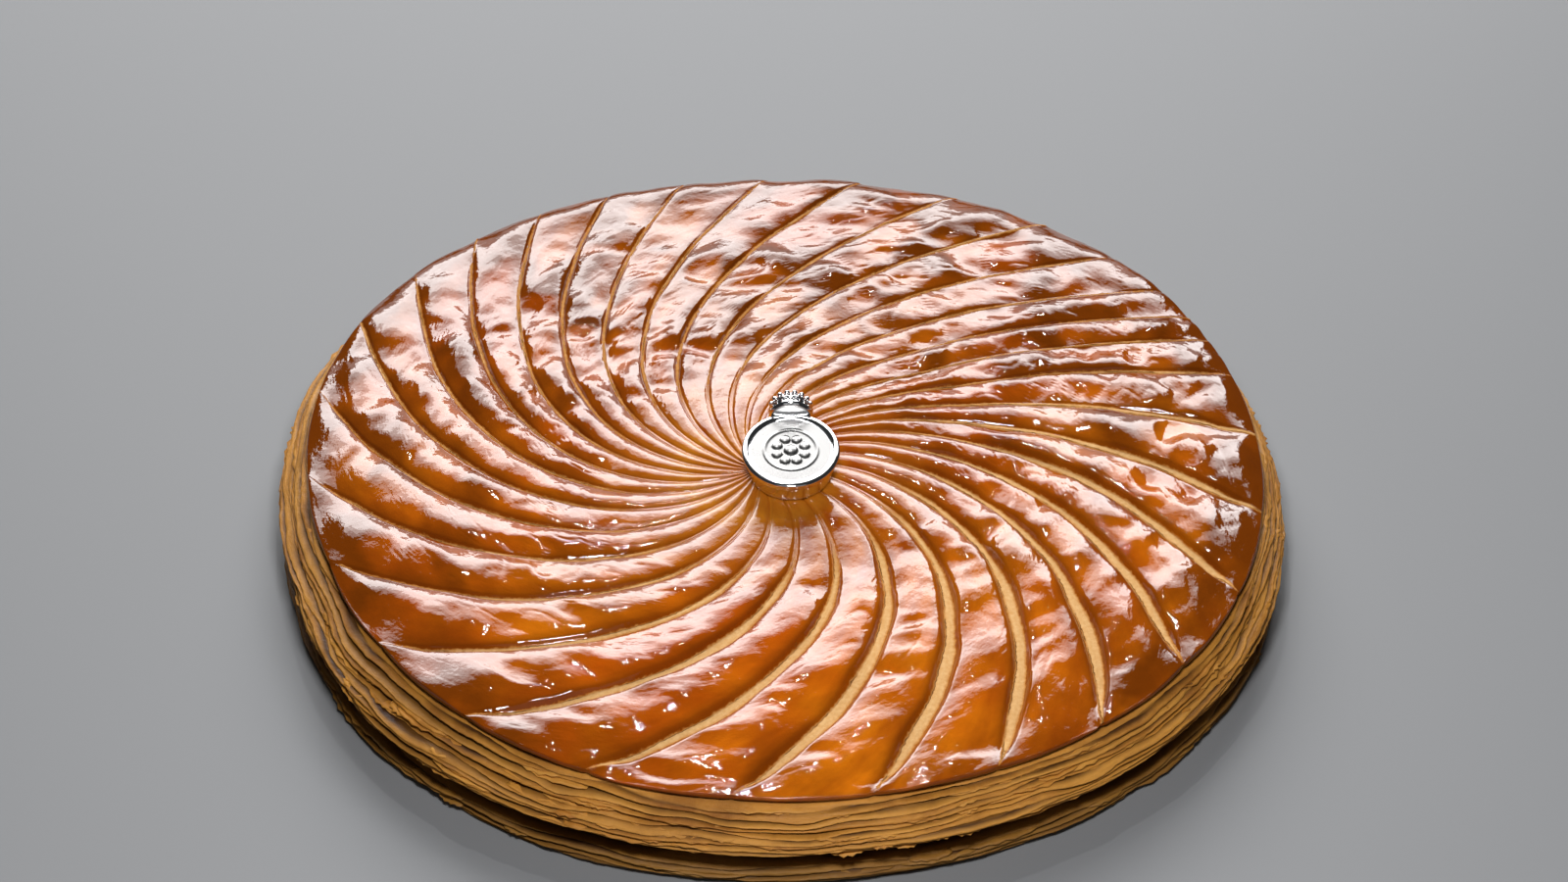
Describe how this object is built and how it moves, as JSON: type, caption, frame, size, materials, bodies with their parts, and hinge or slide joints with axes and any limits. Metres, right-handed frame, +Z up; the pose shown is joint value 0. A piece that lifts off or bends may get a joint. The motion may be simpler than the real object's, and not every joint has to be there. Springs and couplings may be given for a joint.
{
  "type": "galette des rois",
  "caption": "Round puff pastry king cake with a glazed lid scored in a swirl, flaky open sides, and a crowned silver charm lying at its middle.",
  "frame": {"origin": "centre of the flat underside, on the surface that the galette rests on", "axes": "+Z up through the lid; +Y towards the crown of the charm, which is the back in the reference view; +X to the right seen from the front"},
  "size_m": [0.2522, 0.2516, 0.0403],
  "materials": {
    "galette": "baked puff pastry, egg-wash glaze on the lid",
    "charm": "polished silver plate"
  },
  "bodies": {
    "root": {"galette": "galette", "charm": "charm"}
  },
  "joints": []
}
